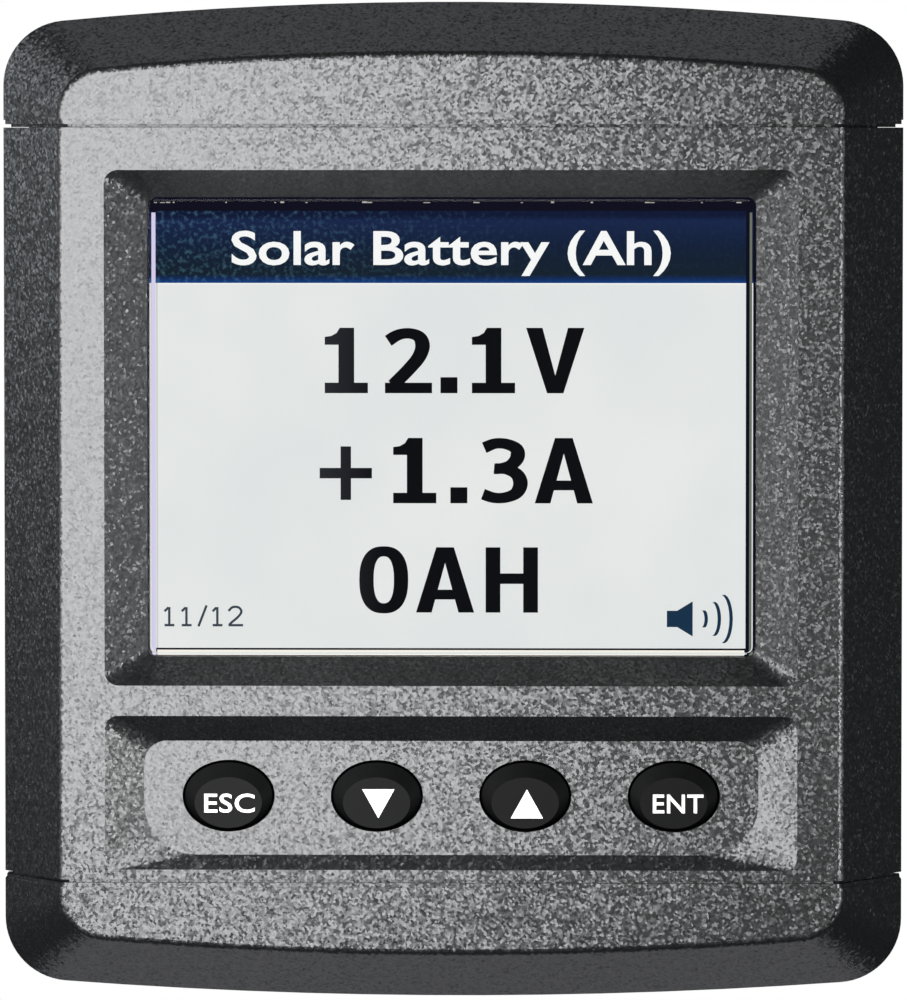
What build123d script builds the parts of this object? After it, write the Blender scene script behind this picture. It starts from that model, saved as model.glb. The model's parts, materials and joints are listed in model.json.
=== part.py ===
from build123d import *

import math
import os

# Panel-mounted battery monitor head: bezel, display, four keys, two boards, pluggable terminals.
# X runs across the face, Y from the face into the panel, Z up. The panel's surface is the plane y = 0, and
# the origin is the centre of the four mounting holes on that plane. Everything is in millimetres.

os.makedirs("parts", exist_ok=True)

# Bezel
WIDTH = 105.0
HEIGHT = 116.3
CROWN = (2.9, 2.2)  # how far the top and the bottom edge bow outwards
CORNER = 7.6
FACE_WIDTH = 90.3
FACE_HEIGHT = 104.2
FACE_CROWN = (2.3, 2.1)
FACE_CORNER = 5.2
FRONT = -14.0  # y of the front face
RIM = 2.6  # straight edge of the bezel next to the panel
WALL = 2.2
EDGE = 0.9  # rounding between the face and the sloping sides
PARTING = 43.5  # half height of the middle moulding; the clip-on covers start beyond it
PARTING_GAP = 0.4  # width of the groove that shows between the mouldings
PARTING_CLEARANCE = 0.05
GROOVE_DEPTH = 0.9
STEP_WIDTH = 0.5
STEP_DEPTH = 0.2

# Display recess and window
DISPLAY_Z = 8.8
RECESS = (80.1, 59.6)
OPENING = (70.6, 53.3)
OPENING_FRONT = -10.2
OPENING_BACK = -9.0
WINDOW_FLANGE = (74.5, 56.2)
WINDOW_FRONT = -8.7
WINDOW_BACK = -7.5
ACTIVE = (69.0, 52.2)
MODULE = (72.6, 58.0)
MODULE_Z = 7.4
MODULE_FRONT = -7.1
GLASS = 1.1

# Keypad tray and keys
TRAY_TOP, TRAY_BOTTOM = -24.5, -42.35
FLOOR_TOP, FLOOR_BOTTOM = -27.55, -40.7
TRAY_WIDTH, FLOOR_WIDTH = 80.1, 71.2
TRAY_DEPTH_TOP, TRAY_DEPTH_BOTTOM = 2.4, 1.3
TRAY_BACK = -9.8
KEY_PITCH = 17.2
KEY_Z = -33.9
KEY_HOLE = (10.7, 8.3)
KEY_GAP = 0.3
KEY_SHOULDER = -12.1
KEY_TOP = -13.3
KEY_BACK = -3.4
KEY_TOP_SIZE = (7.8, 5.9)
KEY_TOP_DROP = 0.7  # the flat top of each key sits this far below its centre
KEY_NAMES = ("escape", "down", "up", "enter")

# Rear housing and flange
FLANGE_THICKNESS = 3.0
FLANGE_INSET = 3.0
GASKET = 1.0
TUB = (92.0, 88.0)
TUB_WALL = 2.0
TUB_BACK = 33.0
TUB_CORNER = 4.0
PAD_RADIUS = 4.2
MOUNT_SPACING = (84.0, 99.0)
MOUNT_HOLE_R = 2.1
TOWER = (40.4, 38.6)
TOWER_R = 3.4
TOWER_SEAT = 8.0
SCREW_HEAD_R = 2.75
SCREW_SHAFT_R = 1.5
CLIP_X = 22.0
CLIP_Z = 50.2
CLIP_R = 1.5
CLIP_BORE_R = 1.55
CLIP_BOSS_R = 2.9

# Boards
BOARD = 1.6
CONTROL_FRONT = -1.0
INPUT_FRONT = 16.0
CONTROL_SIZE = (83.0, 81.0)
INPUT_SIZE = (83.4, 72.0)
BOARD_SCREWS = ((22.0, 39.3), (38.5, -27.0))
SPACERS = ((38.8, 20.0), (38.8, -16.0))

# Terminal row
POLES = 12
POLE_PITCH = 5.08
TERMINAL_Z = -25.0
PLUG_BACK = 42.0
PLUG_SIZE = (61.6, 10.6)
NOSE_SIZE = (61.2, 9.2)
HEADER_SIZE = (63.4, 11.2)
TERMINAL_OPENING = (64.6, 12.6)


FORWARDS = (0, -1, 0)


def face_plane(y):
    """The plane at this y, seen from the front: sketch x is X, sketch y is Z, extruding goes forwards."""
    return Plane.XZ.offset(-y)


def save(builder, name):
    builder.part.label = name
    export_step(builder.part, f"parts/{name}.step")


def mirrored(point):
    """The four points mirrored about the centre lines."""
    x, z = point
    return [(x, z), (-x, z), (x, -z), (-x, -z)]


def pair(point):
    """The point and its mirror image in X."""
    x, z = point
    return [(x, z), (-x, z)]


def pole_points():
    """Centres of the terminal poles along X."""
    return [((i - (POLES - 1) / 2) * POLE_PITCH, TERMINAL_Z) for i in range(POLES)]


def crowned_outline(plane, width, height, crown, corner):
    """A rounded rectangle whose top and bottom edges bow outwards."""
    w, h = width / 2, height / 2
    with BuildSketch(plane) as outline:
        with BuildLine():
            ThreePointArc((-w, h - crown[0]), (0, h), (w, h - crown[0]))
            Line((w, h - crown[0]), (w, crown[1] - h))
            ThreePointArc((w, crown[1] - h), (0, -h), (-w, crown[1] - h))
            Line((-w, crown[1] - h), (-w, h - crown[0]))
        make_face()
        fillet(outline.vertices(), corner)
    return outline.sketch


def tray_outline(plane, width, top, bottom, top_corner, bottom_corner):
    """A rectangle with its own roundings at the top and at the bottom corners."""
    with BuildSketch(plane) as outline:
        with Locations((0, (top + bottom) / 2)):
            Rectangle(width, top - bottom)
        fillet(outline.vertices().group_by(Axis.Y)[-1], top_corner)
        fillet(outline.vertices().group_by(Axis.Y)[0], bottom_corner)
    return outline.sketch


def bezel_body(inset, front, edge=0.0):
    """The whole bezel as one block, shrunk by inset, with its front face at the given y."""
    with BuildPart() as body:
        add(crowned_outline(face_plane(0), WIDTH - 2 * inset, HEIGHT - 2 * inset, CROWN, CORNER - inset))
        extrude(amount=RIM, dir=FORWARDS)
        add(crowned_outline(face_plane(-RIM), WIDTH - 2 * inset, HEIGHT - 2 * inset, CROWN, CORNER - inset))
        face_size = (FACE_WIDTH - 2 * inset, FACE_HEIGHT - 2 * inset)
        add(crowned_outline(face_plane(front), *face_size, FACE_CROWN, FACE_CORNER - inset))
        loft(ruled=True)
        if edge:
            fillet(body.faces().sort_by(Axis.Y)[0].edges(), edge)
    return body.part


def block(low, high):
    """A box between two corners, as a private solid."""
    sizes = [b - a for a, b in zip(low, high)]
    centre = [(a + b) / 2 for a, b in zip(low, high)]
    return Pos(*centre) * Box(*sizes, mode=Mode.PRIVATE)


def band(low_z, high_z):
    """A slab across the whole bezel between two heights."""
    return block((-WIDTH, FRONT - 5, low_z), (WIDTH, 5, high_z))


def key_centres():
    return [((i - 1.5) * KEY_PITCH, KEY_Z) for i in range(len(KEY_NAMES))]


bezel_outer = bezel_body(0, FRONT, EDGE)
bezel_stepped = bezel_body(STEP_DEPTH, FRONT + STEP_DEPTH, EDGE)
bezel_grooved = bezel_body(GROOVE_DEPTH, FRONT + GROOVE_DEPTH)
bezel_hollow = bezel_body(WALL, FRONT + WALL)


# Front mouldings

with BuildPart() as front_bezel:
    add(bezel_outer)
    add(bezel_hollow, mode=Mode.SUBTRACT)
    add(band(-PARTING, PARTING), mode=Mode.INTERSECT)
    # end walls that close the moulding behind the covers
    with BuildSketch(face_plane(-FLANGE_THICKNESS - 0.2)):
        with Locations((0, PARTING - WALL / 2), (0, WALL / 2 - PARTING)):
            Rectangle(FACE_WIDTH, WALL)
    extrude(amount=-FLANGE_THICKNESS - 0.2 - FRONT - EDGE)
    # thicker frame round the display, and behind the keypad tray
    with BuildSketch(face_plane(OPENING_BACK)):
        with Locations((0, DISPLAY_Z)):
            Rectangle(RECESS[0] + 4, RECESS[1] + 4)
    extrude(amount=OPENING_BACK - FRONT - EDGE)
    with BuildSketch(face_plane(TRAY_BACK)):
        with Locations((0, (TRAY_TOP - PARTING) / 2)):
            Rectangle(TRAY_WIDTH + 4, TRAY_TOP + PARTING)
    extrude(amount=TRAY_BACK - FRONT - EDGE)
    # screw bosses: four for the housing screws, four for the board screws
    with BuildSketch(face_plane(-0.1)):
        with Locations(*mirrored(TOWER)):
            Circle(TOWER_R - 0.2)
    extrude(amount=-0.1 - FRONT - EDGE)
    with BuildSketch(face_plane(CONTROL_FRONT)):
        with Locations(*pair(BOARD_SCREWS[0]), *pair(BOARD_SCREWS[1])):
            Circle(2.3)
    extrude(amount=CONTROL_FRONT - FRONT - EDGE)
    with BuildSketch(face_plane(-0.1)):
        with Locations(*mirrored(TOWER)):
            Circle(SCREW_SHAFT_R - 0.05)
    extrude(amount=9, mode=Mode.SUBTRACT)
    with BuildSketch(face_plane(CONTROL_FRONT)):
        with Locations(*pair(BOARD_SCREWS[0]), *pair(BOARD_SCREWS[1])):
            Circle(1.0)
    extrude(amount=6, mode=Mode.SUBTRACT)
    # display recess, sloping in to the window opening
    with BuildSketch(face_plane(FRONT)):
        with Locations((0, DISPLAY_Z)):
            RectangleRounded(*RECESS, 1.6)
    with BuildSketch(face_plane(OPENING_FRONT)):
        with Locations((0, DISPLAY_Z)):
            RectangleRounded(*OPENING, 1.1)
    loft(ruled=True, mode=Mode.SUBTRACT)
    with BuildSketch(face_plane(OPENING_BACK)):
        with Locations((0, DISPLAY_Z)):
            RectangleRounded(*OPENING, 1.1)
    extrude(amount=3, mode=Mode.SUBTRACT)
    # keypad tray: its floor leans, so it is deeper at the top than at the bottom
    floor_lean = math.degrees(
        math.atan2(TRAY_DEPTH_TOP - TRAY_DEPTH_BOTTOM, FLOOR_TOP - FLOOR_BOTTOM)
    )
    floor_middle = (FLOOR_TOP + FLOOR_BOTTOM) / 2
    floor_height = (FLOOR_TOP - FLOOR_BOTTOM) / math.cos(math.radians(floor_lean))
    floor_plane = Plane(
        origin=(0, FRONT + (TRAY_DEPTH_TOP + TRAY_DEPTH_BOTTOM) / 2, floor_middle),
        x_dir=(1, 0, 0),
        z_dir=(0, -math.cos(math.radians(floor_lean)), math.sin(math.radians(floor_lean))),
    )
    add(tray_outline(face_plane(FRONT), TRAY_WIDTH, TRAY_TOP, TRAY_BOTTOM, 1.5, 1.5))
    add(tray_outline(floor_plane, FLOOR_WIDTH, floor_height / 2, -floor_height / 2, 2.6, 6.0))
    loft(ruled=True, mode=Mode.SUBTRACT)
    # key holes
    with BuildSketch(face_plane(TRAY_BACK + 1)):
        with Locations(*key_centres()):
            Ellipse(KEY_HOLE[0] / 2, KEY_HOLE[1] / 2)
    extrude(amount=6, mode=Mode.SUBTRACT)
save(front_bezel, "front_bezel")


def end_cover(side):
    """A clip-on cover over the mounting screws: side is 1 for the top and -1 for the bottom."""
    start = PARTING + PARTING_GAP
    edges = sorted((side * (start + STEP_WIDTH), side * HEIGHT))
    step = sorted((side * start, side * (start + STEP_WIDTH)))
    tongue = sorted((side * (PARTING + PARTING_CLEARANCE), side * start))
    with BuildPart() as lip:
        add(bezel_stepped)
        add(band(*step), mode=Mode.INTERSECT)
    with BuildPart() as groove:
        add(bezel_grooved)
        add(band(*tongue), mode=Mode.INTERSECT)
    with BuildPart() as cover:
        add(bezel_outer)
        add(band(*edges), mode=Mode.INTERSECT)
        add(lip.part)
        add(groove.part)
        add(bezel_hollow, mode=Mode.SUBTRACT)
        with BuildSketch(face_plane(-1.2)):
            with Locations(*pair((CLIP_X, side * CLIP_Z))):
                Circle(CLIP_R)
        extrude(amount=-1.2 - FRONT - EDGE)
        with BuildSketch(face_plane(-8.5)):
            with Locations(*pair((CLIP_X, side * CLIP_Z))):
                Circle(CLIP_R + 1.2)
        extrude(amount=-8.5 - FRONT - EDGE)
        # stiffening ribs across the inside of the front wall
        with BuildSketch(face_plane(-9.0)):
            with Locations(*[(x, side * 49) for x in (-32, -12, 0, 12, 32)]):
                Rectangle(1.2, 8.4)
        extrude(amount=-9.0 - FRONT - EDGE)
        add(bezel_outer, mode=Mode.INTERSECT)
    return cover


top_cover = end_cover(1)
save(top_cover, "top_cover")
bottom_cover = end_cover(-1)
save(bottom_cover, "bottom_cover")


# Display stack

with BuildPart() as window_tape:
    with BuildSketch(face_plane(WINDOW_FRONT)):
        with Locations((0, DISPLAY_Z)):
            RectangleRounded(*WINDOW_FLANGE, 1.9)
            RectangleRounded(OPENING[0] + 0.8, OPENING[1] + 0.8, 1.1, mode=Mode.SUBTRACT)
    extrude(amount=WINDOW_FRONT - OPENING_BACK)
save(window_tape, "window_tape")

with BuildPart() as display_window:
    with BuildSketch(face_plane(WINDOW_BACK)):
        with Locations((0, DISPLAY_Z)):
            RectangleRounded(*WINDOW_FLANGE, 1.9)
    extrude(amount=WINDOW_BACK - WINDOW_FRONT)
    with BuildSketch(face_plane(WINDOW_FRONT)):
        with Locations((0, DISPLAY_Z)):
            RectangleRounded(OPENING[0] - 0.5, OPENING[1] - 0.5, 0.9)
    extrude(amount=1.2)
    chamfer(display_window.faces().sort_by(Axis.Y)[0].edges(), 0.25)
save(display_window, "display_window")

FRAME_SHEET = 0.4
with BuildPart() as display_frame:
    with BuildSketch(face_plane(CONTROL_FRONT)):
        with Locations((0, MODULE_Z)):
            Rectangle(*MODULE)
    extrude(amount=CONTROL_FRONT - MODULE_FRONT)
    with BuildSketch(face_plane(CONTROL_FRONT)):
        with Locations((0, MODULE_Z)):
            Rectangle(MODULE[0] - 2 * FRAME_SHEET, MODULE[1] - 2 * FRAME_SHEET)
    extrude(amount=CONTROL_FRONT - MODULE_FRONT - FRAME_SHEET, mode=Mode.SUBTRACT)
    with BuildSketch(face_plane(CONTROL_FRONT)):
        with Locations((0, DISPLAY_Z)):
            RectangleRounded(*ACTIVE, 0.4)
    extrude(amount=10, mode=Mode.SUBTRACT)
save(display_frame, "display_frame")


def module_sheet(y_back, thickness, width, height, z):
    """One flat layer of the display stack."""
    with BuildPart() as sheet:
        with BuildSketch(face_plane(y_back)):
            with Locations((0, z)):
                Rectangle(width, height)
        extrude(amount=thickness)
    return sheet


GLASS_FRONT = MODULE_FRONT + FRAME_SHEET + 0.05
LEDGE = 2.2  # the rear glass is this much taller, where the contact strip sits
GLASS_SIZE = (MODULE[0] - 1.2, MODULE[1] - 1.2)
save(
    module_sheet(GLASS_FRONT + GLASS, GLASS, GLASS_SIZE[0], GLASS_SIZE[1] - LEDGE, MODULE_Z + LEDGE / 2),
    "display_front_glass",
)
save(module_sheet(GLASS_FRONT + 2 * GLASS + 0.02, GLASS, *GLASS_SIZE, MODULE_Z), "display_rear_glass")

DIFFUSER_BACK = GLASS_FRONT + 2 * GLASS + 0.3
TRAY_FLOOR = 0.6
TRAY_SIDE = 0.8
LIGHT_WIDTH = MODULE[0] - 1.2 - 2 * TRAY_SIDE - 0.3
LIGHT_HEIGHT = MODULE[1] - 1.2 - 2 * TRAY_SIDE - 2.4
LIGHT_Z = MODULE_Z + 1.0
save(module_sheet(DIFFUSER_BACK, 0.2, LIGHT_WIDTH, LIGHT_HEIGHT, LIGHT_Z), "diffuser_sheet")
LIGHT_BACK = CONTROL_FRONT - TRAY_FLOOR - 0.25
save(
    module_sheet(LIGHT_BACK, LIGHT_BACK - DIFFUSER_BACK - 0.05, LIGHT_WIDTH, LIGHT_HEIGHT, LIGHT_Z),
    "light_guide",
)
save(module_sheet(LIGHT_BACK + 0.2, 0.15, LIGHT_WIDTH, LIGHT_HEIGHT, LIGHT_Z), "reflector_sheet")

with BuildPart() as backlight_tray:
    with BuildSketch(face_plane(CONTROL_FRONT - 0.02)):
        with Locations((0, MODULE_Z)):
            Rectangle(MODULE[0] - 1.2, MODULE[1] - 1.2)
    extrude(amount=CONTROL_FRONT - 0.02 - DIFFUSER_BACK + 0.1)
    with BuildSketch(face_plane(CONTROL_FRONT - TRAY_FLOOR)):
        with Locations((0, MODULE_Z)):
            Rectangle(MODULE[0] - 1.2 - 2 * TRAY_SIDE, MODULE[1] - 1.2 - 2 * TRAY_SIDE)
    extrude(amount=10, mode=Mode.SUBTRACT)
save(backlight_tray, "backlight_tray")

LED_COUNT = 8
with BuildPart() as backlight_leds:
    with BuildSketch(face_plane(LIGHT_BACK)):
        with Locations((0, MODULE_Z - MODULE[1] / 2 + 0.6 + TRAY_SIDE + 0.9)):
            with GridLocations(LIGHT_WIDTH / LED_COUNT, 1, LED_COUNT, 1):
                Rectangle(3.5, 1.2)
    extrude(amount=2.0)
save(backlight_leds, "backlight_leds")


# Keypad

MAT_THICKNESS = 1.2
with BuildPart() as keypad_mat:
    with BuildSketch(face_plane(CONTROL_FRONT)):
        with Locations((0, KEY_Z)):
            RectangleRounded(66.0, 12.2, 1.5)
    extrude(amount=MAT_THICKNESS)
    with BuildSketch(face_plane(CONTROL_FRONT)):
        with Locations(*key_centres()):
            Ellipse(6.3, 5.1)
    extrude(amount=MAT_THICKNESS, mode=Mode.SUBTRACT)
save(keypad_mat, "keypad_mat")

for name, (key_x, key_z) in zip(KEY_NAMES, key_centres()):
    half_x = KEY_HOLE[0] / 2 - KEY_GAP
    half_z = KEY_HOLE[1] / 2 - KEY_GAP
    with BuildPart() as key:
        with BuildSketch(face_plane(KEY_BACK)):
            with Locations((key_x, key_z)):
                Ellipse(half_x, half_z)
        extrude(amount=KEY_BACK - KEY_SHOULDER)
        with BuildSketch(face_plane(KEY_SHOULDER)):
            with Locations((key_x, key_z)):
                Ellipse(half_x, half_z)
        with BuildSketch(face_plane(KEY_TOP)):
            with Locations((key_x, key_z - KEY_TOP_DROP)):
                Ellipse(KEY_TOP_SIZE[0] / 2, KEY_TOP_SIZE[1] / 2)
        loft()
    save(key, f"key_{name}")

    with BuildPart() as pill:
        with BuildSketch(face_plane(KEY_BACK + 1.2)):
            with Locations((key_x, key_z)):
                Circle(2.2)
        extrude(amount=1.2)
    save(pill, f"contact_pill_{name}")

    # the thin sloping skirt that joins the key to the mat and lets it spring back
    with BuildPart() as web:
        with BuildSketch(face_plane(CONTROL_FRONT - MAT_THICKNESS)):
            with Locations((key_x, key_z)):
                Ellipse(6.6, 5.4)
        with BuildSketch(face_plane(KEY_BACK - 0.8)):
            with Locations((key_x, key_z)):
                Ellipse(half_x + 0.5, half_z + 0.5)
        loft()
        with BuildSketch(face_plane(CONTROL_FRONT - MAT_THICKNESS)):
            with Locations((key_x, key_z)):
                Ellipse(6.1, 4.9)
        with BuildSketch(face_plane(KEY_BACK - 0.8)):
            with Locations((key_x, key_z)):
                Ellipse(half_x + 0.05, half_z + 0.05)
        loft(mode=Mode.SUBTRACT)
    save(web, f"key_web_{name}")

with BuildPart() as key_contacts:
    with BuildSketch(face_plane(CONTROL_FRONT)):
        with Locations(*key_centres()):
            Circle(3.0)
    extrude(amount=0.1)
save(key_contacts, "key_contacts")


# Control board

def board(front, size, holes, hole_r):
    """A circuit board with its corners cut back round the screw towers and holes for its screws."""
    with BuildPart() as made:
        with BuildSketch(face_plane(front + BOARD)):
            Rectangle(*size)
            with Locations(*mirrored(TOWER)):
                Circle(TOWER_R + 0.6, mode=Mode.SUBTRACT)
                Rectangle(6.4, 6.4, mode=Mode.SUBTRACT)
            with Locations(*holes):
                Circle(hole_r, mode=Mode.SUBTRACT)
        extrude(amount=BOARD)
    return made


def fasteners(points, seat, head_r, head_height, shaft_r, length):
    """Pan-head cross-recess screws driven forwards: their heads' undersides are at y = seat."""
    with BuildPart() as screws:
        with BuildSketch(face_plane(seat + head_height)):
            with Locations(*points):
                Circle(head_r)
        extrude(amount=head_height)
        fillet(screws.faces().group_by(Axis.Y)[-1].edges(), min(head_height, head_r) * 0.45)
        with BuildSketch(face_plane(seat)):
            with Locations(*points):
                Circle(shaft_r)
        extrude(amount=length)
        for turn in (0, 90):
            with BuildSketch(face_plane(seat + head_height)):
                with Locations(*points):
                    Rectangle(head_r * 1.15, head_r * 0.26, rotation=turn)
            extrude(amount=head_height * 0.65, mode=Mode.SUBTRACT)
    return screws


spacer_points = [*pair(SPACERS[0]), *pair(SPACERS[1])]
board_screw_points = [*pair(BOARD_SCREWS[0]), *pair(BOARD_SCREWS[1])]
control_board = board(CONTROL_FRONT, CONTROL_SIZE, [*spacer_points, *board_screw_points], 1.3)
save(control_board, "control_board")
CONTROL_BACK = CONTROL_FRONT + BOARD
INPUT_BACK = INPUT_FRONT + BOARD

board_screws = fasteners(board_screw_points, CONTROL_BACK, 2.0, 1.5, 0.95, 6.0)
save(board_screws, "board_screws")


def quad_package(x, z, y, size, height, legs, pitch):
    """A flat chip on the back of a board: its body, and its gull-wing legs as separate solids."""
    with BuildPart() as body:
        with BuildSketch(face_plane(y + 0.1 + height)):
            with Locations((x, z)):
                Rectangle(size, size)
        extrude(amount=height)
        chamfer(body.faces().sort_by(Axis.Y)[-1].edges(), 0.2)
    reach = size / 2 + 0.6
    with BuildPart() as leg_set:
        with BuildSketch(face_plane(y + 0.25)):
            with Locations((x, z + reach), (x, z - reach)):
                with GridLocations(pitch, 1, legs, 1):
                    Rectangle(0.35, 1.16)
            with Locations((x + reach, z), (x - reach, z)):
                with GridLocations(1, pitch, 1, legs):
                    Rectangle(1.16, 0.35)
        extrude(amount=0.25)
    return body, leg_set


controller_body, controller_legs = quad_package(-8, 4, CONTROL_BACK, 14.0, 1.4, 16, 0.8)
save(controller_body, "microcontroller")
save(controller_legs, "microcontroller_legs")
driver_body, driver_legs = quad_package(18, 6, CONTROL_BACK, 10.0, 1.2, 11, 0.8)
save(driver_body, "display_driver")
save(driver_legs, "display_driver_legs")

with BuildPart() as crystal:
    with BuildSketch(face_plane(CONTROL_BACK + 3.5)):
        with Locations((-24, 4)):
            SlotOverall(11.0, 4.6, rotation=90)
    extrude(amount=3.5)
    fillet(crystal.faces().sort_by(Axis.Y)[-1].edges(), 0.6)
save(crystal, "crystal")

with BuildPart() as chip_resistors:
    with BuildSketch(face_plane(CONTROL_BACK + 0.5)):
        with Locations((0, -12), (0, 18)):
            with GridLocations(6.0, 3.0, 8, 2):
                Rectangle(2.0, 1.2)
    extrude(amount=0.5)
save(chip_resistors, "chip_resistors")

HEX_FLATS = 5.0
with BuildPart() as board_spacers:
    with BuildSketch(face_plane(INPUT_FRONT)):
        with Locations(*spacer_points):
            RegularPolygon(HEX_FLATS / 2, 6, major_radius=False)
            Circle(1.25, mode=Mode.SUBTRACT)
    extrude(amount=INPUT_FRONT - CONTROL_BACK)
save(board_spacers, "board_spacers")

spacer_screws_rear = fasteners(spacer_points, INPUT_BACK, 2.2, 1.6, 1.2, 5.5)
save(spacer_screws_rear, "spacer_screws_rear")
half_way = Plane.XZ.offset(-(INPUT_BACK + CONTROL_FRONT) / 2)
with BuildPart() as spacer_screws_front:
    add(mirror(spacer_screws_rear.part, about=half_way, mode=Mode.PRIVATE))
save(spacer_screws_front, "spacer_screws_front")

# board-to-board link
LINK = (2, 8)
LINK_PITCH = 2.54
LINK_AT = (0, -17.0)
with BuildPart() as link_socket:
    with BuildSketch(face_plane(CONTROL_BACK + 8.5)):
        with Locations(LINK_AT):
            Rectangle(LINK[1] * LINK_PITCH + 0.4, 5.1)
    extrude(amount=8.5)
    with BuildSketch(face_plane(CONTROL_BACK + 8.5)):
        with Locations(LINK_AT):
            with GridLocations(LINK_PITCH, LINK_PITCH, LINK[1], LINK[0]):
                Rectangle(0.9, 0.9)
    extrude(amount=7.0, mode=Mode.SUBTRACT)
save(link_socket, "link_socket")
with BuildPart() as link_header:
    with BuildSketch(face_plane(INPUT_FRONT)):
        with Locations(LINK_AT):
            Rectangle(LINK[1] * LINK_PITCH + 0.4, 5.1)
            with GridLocations(LINK_PITCH, LINK_PITCH, LINK[1], LINK[0]):
                Rectangle(0.66, 0.66, mode=Mode.SUBTRACT)
    extrude(amount=2.5)
save(link_header, "link_header")
with BuildPart() as link_pins:
    with BuildSketch(face_plane(INPUT_FRONT - 0.02)):
        with Locations(LINK_AT):
            with GridLocations(LINK_PITCH, LINK_PITCH, LINK[1], LINK[0]):
                Rectangle(0.64, 0.64)
    extrude(amount=12.4)
save(link_pins, "link_pins")


# Input board

with BuildPart() as input_board:
    with BuildSketch(face_plane(INPUT_BACK)):
        Rectangle(*INPUT_SIZE)
        with Locations(*mirrored(TOWER)):
            Rectangle(8.6, 8.6, mode=Mode.SUBTRACT)
        with Locations(*spacer_points):
            Circle(1.3, mode=Mode.SUBTRACT)
        with Locations(*pole_points()):
            Circle(0.75, mode=Mode.SUBTRACT)
    extrude(amount=BOARD)
save(input_board, "input_board")

with BuildPart() as alarm_relay:
    with BuildSketch(face_plane(INPUT_BACK + 12.2)):
        with Locations((-26, 12)):
            RectangleRounded(19.0, 15.4, 1.0)
    extrude(amount=12.2)
    fillet(alarm_relay.faces().sort_by(Axis.Y)[-1].edges(), 0.5)
save(alarm_relay, "alarm_relay")

CAPACITORS = ((-6, 14), (6, 14))
with BuildPart() as capacitors:
    with BuildSketch(face_plane(INPUT_BACK + 11.5)):
        with Locations(*CAPACITORS):
            Circle(5.0)
    extrude(amount=11.5)
    fillet(capacitors.faces().group_by(Axis.Y)[-1].edges(), 0.8)
    with BuildSketch(face_plane(INPUT_BACK + 11.5)):
        with Locations(*CAPACITORS):
            Rectangle(6.0, 0.3)
            Rectangle(0.3, 6.0)
    extrude(amount=0.3, mode=Mode.SUBTRACT)
save(capacitors, "capacitors")

with BuildPart() as power_inductor:
    with BuildSketch(face_plane(INPUT_BACK + 6.0)):
        with Locations((21, 14)):
            RectangleRounded(12.0, 12.0, 2.5)
    extrude(amount=6.0)
    with BuildSketch(face_plane(INPUT_BACK + 6.0)):
        with Locations((21, 14)):
            Circle(4.6)
            Circle(4.1, mode=Mode.SUBTRACT)
    extrude(amount=0.6, mode=Mode.SUBTRACT)
save(power_inductor, "power_inductor")

with BuildPart() as buzzer:
    with BuildSketch(face_plane(INPUT_BACK + 7.5)):
        with Locations((0, -6)):
            Circle(6.0)
    extrude(amount=7.5)
    with BuildSketch(face_plane(INPUT_BACK + 7.5)):
        with Locations((0, -6)):
            Circle(1.2)
    extrude(amount=2.0, mode=Mode.SUBTRACT)
    fillet(buzzer.faces().group_by(Axis.Y)[-1].edges().sort_by(SortBy.LENGTH)[-1], 0.5)
save(buzzer, "buzzer")

with BuildPart() as voltage_regulator:
    with BuildSketch(face_plane(INPUT_BACK + 4.5)):
        with Locations((26, -4)):
            Rectangle(10.2, 8.6)
    extrude(amount=4.5)
    chamfer(voltage_regulator.faces().sort_by(Axis.Y)[-1].edges(), 0.5)
save(voltage_regulator, "voltage_regulator")
with BuildPart() as regulator_tab:
    with BuildSketch(face_plane(INPUT_BACK + 1.3)):
        with Locations((26, 1.7)):
            Rectangle(10.2, 2.7)
    extrude(amount=1.3)
save(regulator_tab, "regulator_tab")

with BuildPart() as input_fuse:
    with BuildSketch(face_plane(INPUT_BACK + 3.0)):
        with Locations((-24, -6)):
            Rectangle(10.0, 3.0)
    extrude(amount=3.0)
save(input_fuse, "input_fuse")


# Terminal row

HEADER_BACK = INPUT_BACK + 10.6
with BuildPart() as terminal_header:
    with BuildSketch(face_plane(HEADER_BACK)):
        with Locations((0, TERMINAL_Z)):
            Rectangle(*HEADER_SIZE)
    extrude(amount=HEADER_BACK - INPUT_BACK)
    with BuildSketch(face_plane(HEADER_BACK)):
        with Locations((0, TERMINAL_Z)):
            Rectangle(NOSE_SIZE[0] + 0.5, NOSE_SIZE[1] + 0.5)
    extrude(amount=HEADER_BACK - INPUT_BACK - 1.8, mode=Mode.SUBTRACT)
    with BuildSketch(face_plane(INPUT_BACK + 1.8)):
        with Locations(*pole_points()):
            Rectangle(1.04, 1.04)
    extrude(amount=1.8, mode=Mode.SUBTRACT)
save(terminal_header, "terminal_header")

with BuildPart() as header_pins:
    with BuildSketch(face_plane(INPUT_BACK + 9.6)):
        with Locations(*pole_points()):
            Rectangle(1.0, 1.0)
    extrude(amount=9.6 + BOARD + 1.4)
save(header_pins, "header_pins")

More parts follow.
